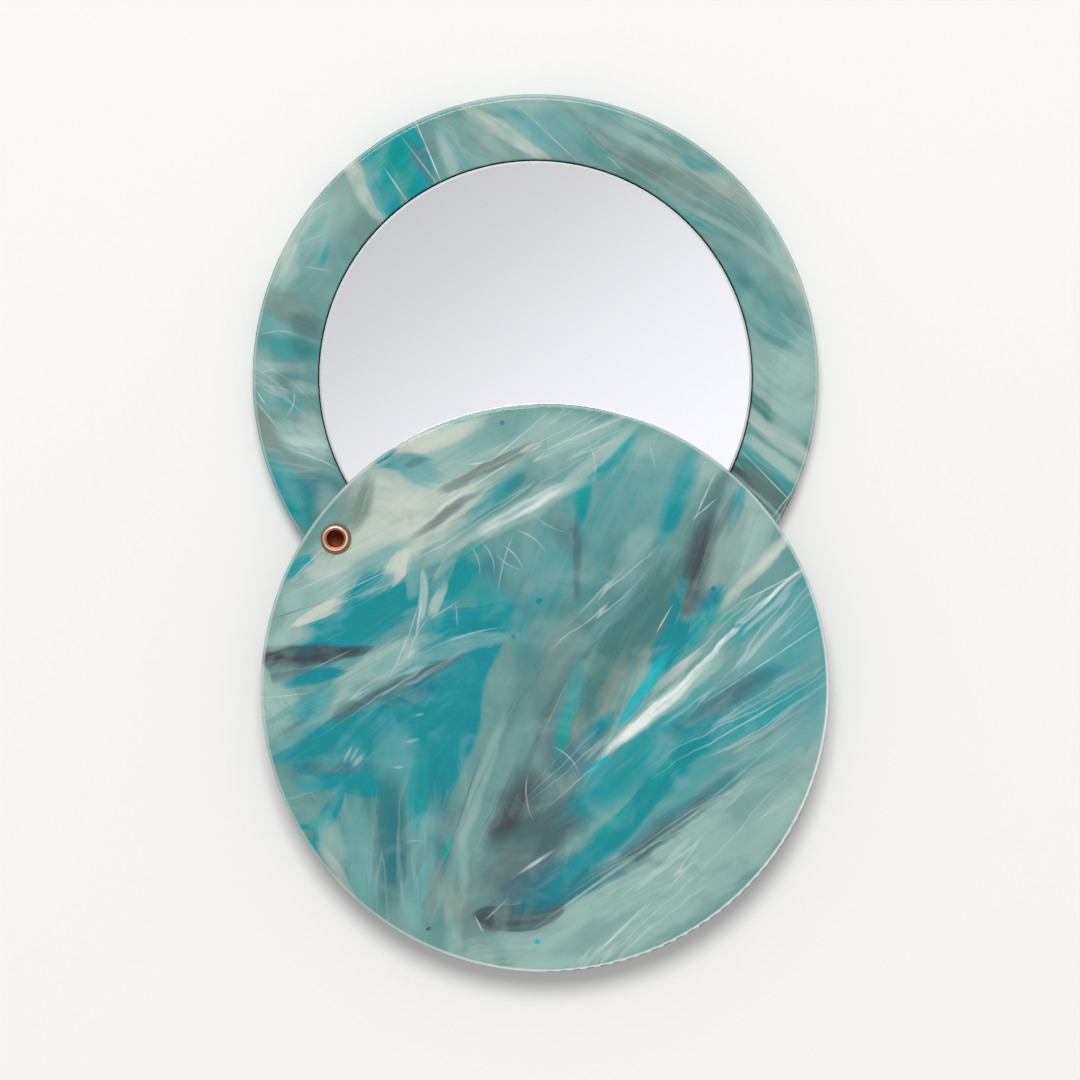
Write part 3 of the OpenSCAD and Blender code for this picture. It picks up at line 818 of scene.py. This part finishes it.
# %% Base: bundles of fine veins
on_base += [
    feather((-12, 35), (0, 28), 3.0, 0.04),
    feather((4, 35), (36, 16), 4.4, 0.04),
    feather((8, 32), (34, 12), 3.6, 0.04, pigment=PINE),
    feather((26, 12), (38, 2), 3.4, 0.04),
    feather((27, -3), (37, -14), 3.6, 0.06, pigment=PALE),
    feather((-38, 1), (-29, -4), 3.4, 0.06),
    feather((-37, 16), (-26, 24), 3.0, 0.04),
    feather((-37, -8), (-27, -12), 3.0, 0.04),
]

# %% Base: crisp veins
on_base += [
    hair((-16.2, 34.6), (-12.7, 26.4), 0.13, 0.9),
    hair((-17.6, 31.8), (-13.2, 26), 0.12, 0.5),
    hair((-20.2, 28), (-17.2, 23.6), 0.14, 0.45),
    hair((-2.4, 36.6), (5.2, 29.4), 0.12, 0.5),
    hair((-1, 35.8), (2.4, 32.4), 0.12, 0.5, pigment=PALE),
    hair((9.8, 29.6), (11.8, 27.6), 0.14, 0.3),
    hair((-31, 14.9), (-27.6, 14.3), 0.1, 0.5),
    hair((-30.8, 21.4), (-28, 23.8), 0.14, 0.35, bend=0.4),
    hair((-37.6, 0.5), (-35, 1.2), 0.12, 0.3),
    hair((-38, -0.6), (-32.6, -1.8), 0.1, 0.35),
    hair((-32, -1.8), (-32.9, -5.2), 0.13, 0.5, bend=0.4),
    hair((-37.4, -1.8), (-36.2, -3.6), 0.1, 0.7),
    hair((-37.6, -3), (-34.2, -7.2), 0.1),
    hair((-32.4, -9.6), (-26.6, -12), 0.13, 0.5, bend=0.2),
    hair((-36.8, 5.8), (-34.6, 6.3), 0.12, 0.3),
    hair((-34.6, 6.4), (-32, 5.9), 0.1, 0.4, bend=0.2),
    hair((-35.4, -15.4), (-33, -15), 0.12, pigment=AQUA),
    hair((27.6, -9.8), (34.4, -16.8), 0.11, 0.7),
    hair((31.8, -18.8), (34.2, -15.6), 0.11, 0.7),
    # This charcoal speck is painted shade: the base's rim in shadow next to the cover's
    # edge.
    speck(CHARCOAL, (33, -18.6), (35, -15), 0.35, 0.7),
]


# %% [markdown]
# ## From doughs to a polished sheet
# Three steps follow the streaks over the whole sheet. Doughs that were kneaded long
# leave soft clouds with no direction. Pressing and polishing deepen the dyes, which one
# small step of contrast stands for. Last comes a painted highlight: a thin pale line along
# the rounded upper edge, for the light that the edge catches, strongest on one side.

# %% Clouds
CLOUD_SCALE, CLOUD_TWIST = 0.14, 0.6  # turns of the noise per mm, and its distortion
CLOUDS = [(PALE, 0.5, 0.68, 0.24), (PINE, 0.5, 0.3, 0.3)]  # pigment, from, to, cover


def cloud(tree, dough, place):
    """Lays soft clouds over the whole sheet."""
    soft = add(tree, "TexNoise", {}, Vector=place, Scale=CLOUD_SCALE, Detail=4.0,
               Roughness=GRAIN, Distortion=CLOUD_TWIST)
    for pigment, start, full, cover in CLOUDS:
        amount = add(tree, "MapRange", {}, soft, start, full, 0.0, cover)
        dough = add(tree, "Mix", {"data_type": "RGBA"}, amount, i6=dough, i7=pigment)
    return dough


# %% The painted edge highlight
# The pale line is a painted highlight that stands for the glint on the rounded upper edge.
HIGHLIGHT_RADII = 37.5, 37.75  # mm from the centre, where the line starts and where it is full
HIGHLIGHT_DEPTH = 0.35     # mm below the face, where it ends
BRIGHTEST_SIDE = radians(-48)  # direction of the side where the painted highlight is strongest
HIGHLIGHT_COLOUR = "#F6FAF9"


def paint_edge_highlight(tree, dough, place, centre, face, least, most):
    """Lays a painted highlight: a pale line along the upper edge, for the light it catches.

    least and most are how much the line covers, away from the brightest side and on it."""
    level, distance = from_axis(tree, place, centre.x / MM, centre.y / MM)
    height = add(tree, "VectorMath", {"operation": "DOT_PRODUCT"}, place, (0, 0, 1))
    towards_brightest = add(tree, "VectorMath", {"operation": "DOT_PRODUCT"}, level,
               (math.cos(BRIGHTEST_SIDE), math.sin(BRIGHTEST_SIDE), 0))
    cover = add(tree, "MapRange", {"interpolation_type": "SMOOTHSTEP"}, towards_brightest, 0.0,
                HIGHLIGHT_RADII[1], least, most)
    outside = add(tree, "MapRange", {}, distance, HIGHLIGHT_RADII[0], HIGHLIGHT_RADII[1], 0.0, cover)
    upper = add(tree, "Math", {"operation": "GREATER_THAN"}, height, face - HIGHLIGHT_DEPTH)
    amount = add(tree, "Math", {"operation": "MULTIPLY"}, outside, upper)
    return add(tree, "Mix", {"data_type": "RGBA"}, amount, i6=dough, i7=linear(HIGHLIGHT_COLOUR))


# %% The acetate material
WARP, WARP_SCALE = 2.4, 0.1  # mm that the kneading shifts the doughs, and turns per mm
CLUMP_SCALE = 0.3            # turns of the clumps' noise per mm
PRESSED = 0.024, 0.12        # brightness and contrast that pressing and polishing give


def acetate(name, node, streaks, least, most):
    material, tree = new_material(name)
    centre = middle(node)
    coords = add(tree, "TexCoord", {})
    place = add(tree, "VectorMath", {"operation": "SCALE"}, coords.outputs["Object"],
                Scale=1 / MM)
    wobble = add(tree, "TexNoise", {}, Vector=place, Scale=WARP_SCALE, Detail=3.0)
    shift = add(tree, "VectorMath", {"operation": "SUBTRACT"}, wobble.outputs["Color"],
                (0.5, 0.5, 0.5))
    warped = add(tree, "VectorMath", {"operation": "MULTIPLY_ADD"}, shift,
                 (WARP, WARP, 0.0), place)
    clump = add(tree, "TexNoise", {}, Vector=warped, Scale=CLUMP_SCALE, Detail=4.0,
                Roughness=GRAIN)
    clumps = add(tree, "Math", {"operation": "SUBTRACT"}, clump, 0.5)
    places = place, warped, clumps
    dough, flows = SEA, {}
    for s in streaks:
        dough = lay(tree, dough, places, flows, centre, s)
    dough = cloud(tree, dough, warped)
    dough = add(tree, "BrightContrast", {}, dough, *PRESSED)
    # Painted highlight: a pale line along the rounded upper edge.
    dough = paint_edge_highlight(tree, dough, place, centre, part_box(node)[1].z / MM, least, most)
    shader = add(tree, "BsdfPrincipled", {}, Base_Color=dough, Roughness=0.1, IOR=1.48,
                 Specular_IOR_Level=0.25)
    add(tree, "OutputMaterial", {}, Surface=shader)
    return material


# The last two numbers are how much the painted edge highlight covers, away from its
# brightest side and on it.
wear("cover_disc", acetate("cellulose acetate cover", "cover_disc", on_cover, 0.35, 1.0))
wear("base_disc", acetate("cellulose acetate base", "base_disc", on_base, 0.3, 0.4))
print("streaks on the cover and on the base:", len(on_cover), len(on_base))


# %% [markdown]
# ## The mirror
# The pane is float glass, silvered on its back. Glass over silver could be traced as two
# layers, but their faces touch, and a ray that leaves one face can miss the other. So the
# pane takes the silver's gloss itself. Its ground edge is the part that shows it is
# glass: a narrow frosted ring, found by the distance from the centre.

# %% Plain finishes
def plain(name, colour, **inputs):
    material, tree = new_material(name)
    shader = add(tree, "BsdfPrincipled", {}, Base_Color=linear(colour), **inputs)
    add(tree, "OutputMaterial", {}, Surface=shader)
    return material


# %% Silvered glass with a ground edge
pane_low, pane_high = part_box("mirror_glass")
pane_radius = (pane_high.x - pane_low.x) / 2
ARRIS = 0.3 * MM  # width of the ground edge, seen from above
FROST = 0.45      # roughness of the ground edge


def silvered_glass(name):
    material, tree = new_material(name)
    coords = add(tree, "TexCoord", {})
    centre = (pane_low + pane_high) / 2
    distance = from_axis(tree, coords.outputs["Object"], centre.x, centre.y)[1]
    silver = add(tree, "Math", {"operation": "LESS_THAN"}, distance, pane_radius - ARRIS)
    colour = add(tree, "Mix", {"data_type": "RGBA"}, silver, i6=linear("#F1F1EE"),
                 i7=linear("#F6F7F8"))
    rough = add(tree, "Math", {"operation": "MULTIPLY_ADD"}, silver, -FROST, FROST)
    shader = add(tree, "BsdfPrincipled", {}, Base_Color=colour, Metallic=silver,
                 Roughness=rough)
    add(tree, "OutputMaterial", {}, Surface=shader)
    return material


wear("mirror_glass", silvered_glass("silvered float glass"))
wear("mirror_backing", plain("silvering", "#F4F5F6", Metallic=1.0, Roughness=0.05))
wear("mirror_adhesive", plain("adhesive film", "#E8E6DE", Roughness=0.5))
print("pane radius in mm:", round(pane_radius / MM, 2))


# %% [markdown]
# ## Rivet and washers
# The rivet is a copper tube with its end rolled over by a press. The tool leaves the roll
# bright, and the bore behind it, where no tool reached, stays dull with old oxide. The
# rings run round the rivet's axis, so a colour ramp over the distance from that axis
# places each of them: the bore, a dark ring of painted shade at its lip, a light ring of
# painted reflection, a second dark ring of painted shade and the roll. The flat head at
# the back has no rings, so they stop below the bottom of the bore.

# %% Copper
RINGS_FROM = 3.0 * MM  # height from which the rivet is a tube; below are shank and head
RINGS_TO = 2.0  # mm, the radius at the ramp's end
RINGS = [       # inner and outer radius in mm, and colour
    # The dark rings from 1.09 and from 1.33 mm are painted shade, and the light ring from
    # 1.2 mm is a painted reflection.
    (0.0, 1.02, "#A85232"), (1.09, 1.14, "#5E2814"), (1.2, 1.27, "#B98470"),
    (1.33, 1.42, "#8C4A32"), (1.5, RINGS_TO, "#F2D8B6"),
]
ROLL = 1.08 * MM, 1.16 * MM  # radius, from the last dull copper to the first bright
DULL = 0.5, 0.2     # roughness and metal of the oxidised copper
BRIGHT = 0.28, 1.0  # the same of the bright copper


def copper(name):
    material, tree = new_material(name)
    place = add(tree, "TexCoord", {}).outputs["Object"]
    distance = from_axis(tree, place, rivet_centre.x, rivet_centre.y)[1]
    height = add(tree, "VectorMath", {"operation": "DOT_PRODUCT"}, place, (0, 0, 1))
    solid = add(tree, "Math", {"operation": "LESS_THAN"}, height, RINGS_FROM)
    share = add(tree, "Math", {"operation": "DIVIDE"}, distance, RINGS_TO * MM)
    rings = add(tree, "ValToRGB", {}, share)
    edges = [(radius, linear(ring[2])) for ring in RINGS for radius in ring[:2]]
    ramp = rings.color_ramp.elements
    ramp[0].color, ramp[1].color = edges[0][1], edges[-1][1]
    for radius, colour in edges[1:-1]:
        ramp.new(radius / RINGS_TO).color = colour
    rolled = add(tree, "MapRange", {"interpolation_type": "SMOOTHSTEP"}, distance, *ROLL)
    bright = add(tree, "Math", {"operation": "MAXIMUM"}, rolled, solid)
    rough, metal = [add(tree, "Math", {"operation": "MULTIPLY_ADD"}, bright, high - low, low)
                    for low, high in zip(DULL, BRIGHT)]
    colour = add(tree, "Mix", {"data_type": "RGBA"}, solid, i6=rings, i7=linear("#B9805F"))
    shader = add(tree, "BsdfPrincipled", {}, Base_Color=colour, Metallic=metal,
                 Roughness=rough)
    add(tree, "OutputMaterial", {}, Surface=shader)
    return material


wear("rivet", copper("copper, rolled and oxidised"))
# The washer's dark brown is dull copper, darkened further as painted shade for the dark ring
# round the roll.
wear("rivet_washer", plain("copper washer", "#64503D", Metallic=1.0, Roughness=0.4))
wear("spacer_washer", plain("nylon", "#E8E6DE", Roughness=0.5))


# %% [markdown]
# ## Floor, light and camera
# The mirror lies on white card under one large soft window above its far side, with pale
# walls all round. The wall light and the window together come to one, so a colour renders
# about as it is written. Polished faces see a ceiling that brightens towards the camera's
# right hand, which gives the mirror its soft gradient.

# %% Floor
FLOOR_SIZE = 4          # m
FLOOR_DROP = 0.02 * MM  # keeps the card's face off the base's, so neither shows through
FLOOR_LIFT = 0.05       # glow that keeps the card white to the camera
bpy.ops.mesh.primitive_plane_add(size=FLOOR_SIZE, location=(0, 0, -FLOOR_DROP))
floor = bpy.context.object
floor.name = "floor"
material, tree = new_material("white card")
seen = add(tree, "LightPath", {}).outputs["Is Camera Ray"]
lift = add(tree, "Math", {"operation": "MULTIPLY"}, seen, FLOOR_LIFT)
shader = add(tree, "BsdfPrincipled", {}, Base_Color=linear("#F7F7F5"), Roughness=1.0,
             Specular_IOR_Level=0.0, Emission_Color=linear("#F7F6F2"),
             Emission_Strength=lift)
add(tree, "OutputMaterial", {}, Surface=shader)
floor.data.materials.append(material)

# %% World
WALL_LIGHT = 0.51
TOWARDS = 0.55, -0.83, 0.0  # the level direction in which the ceiling brightens
CEILING = -0.075, 0.004, 0.62, 1.055  # where it starts and ends to brighten, dim, bright
OVERHEAD = 0.8, 0.95, 0.88  # how high it starts and ends to be whole, and its share below
world = bpy.data.worlds.new("studio")
bpy.context.scene.world = world
world.use_nodes = True
tree = world.node_tree
tree.nodes.clear()
direction = add(tree, "TexCoord", {}).outputs["Generated"]
across_ceiling = add(tree, "VectorMath", {"operation": "DOT_PRODUCT"}, direction, TOWARDS)
ceiling = add(tree, "MapRange", {"interpolation_type": "SMOOTHSTEP"}, across_ceiling,
              *CEILING)
height = add(tree, "VectorMath", {"operation": "DOT_PRODUCT"}, direction, (0, 0, 1))
overhead = add(tree, "MapRange", {}, height, *OVERHEAD, 1.0)
shine = add(tree, "Math", {"operation": "MULTIPLY"}, ceiling, overhead)
seen_in_gloss = add(tree, "LightPath", {}).outputs["Is Glossy Ray"]
strength = add(tree, "Mix", {}, seen_in_gloss, i2=WALL_LIGHT, i3=shine)
tint = add(tree, "Mix", {"data_type": "RGBA"}, seen_in_gloss, i6=linear("#FFFAF9"),
           i7=linear("#FBFBFF"))
background = add(tree, "Background", {}, tint, strength)
add(tree, "OutputWorld", {}, Surface=background)

# %% Window
WINDOW_BEARING, WINDOW_HEIGHT, WINDOW_DISTANCE = radians(96), radians(66), 2.0
WINDOW_SIZE, WINDOW_POWER = 0.44, 5.3  # m and W at a distance of one metre
lamp = bpy.data.objects.new("window", bpy.data.lights.new("window", "AREA"))
bpy.context.scene.collection.objects.link(lamp)
lamp.data.shape = "DISK"
lamp.data.size = WINDOW_SIZE * WINDOW_DISTANCE
lamp.data.energy = WINDOW_POWER * WINDOW_DISTANCE ** 2
lamp.location = (WINDOW_DISTANCE * math.cos(WINDOW_HEIGHT) * math.cos(WINDOW_BEARING),
                 WINDOW_DISTANCE * math.cos(WINDOW_HEIGHT) * math.sin(WINDOW_BEARING),
                 WINDOW_DISTANCE * math.sin(WINDOW_HEIGHT))
lamp.rotation_euler = (-lamp.location).to_track_quat("-Z", "Y").to_euler()

# %% Camera
CAMERA = 0.604 * MM, -21.87 * MM, 780 * MM
FACE = 3.2        # mm, the height of the face that the picture's scale is taken at
SCALE = 7.447     # pixels that one millimetre takes there
PICTURE = 1080    # pixels, the picture's width
SENSOR = 36       # mm
camera = bpy.data.objects.new("camera", bpy.data.cameras.new("camera"))
bpy.context.scene.collection.objects.link(camera)
camera.location = CAMERA
camera.data.sensor_width = SENSOR
camera.data.lens = SENSOR * SCALE * (CAMERA[2] / MM - FACE) / PICTURE
camera.data.clip_end = 10
bpy.context.scene.camera = camera
bpy.context.scene.view_settings.view_transform = "Standard"
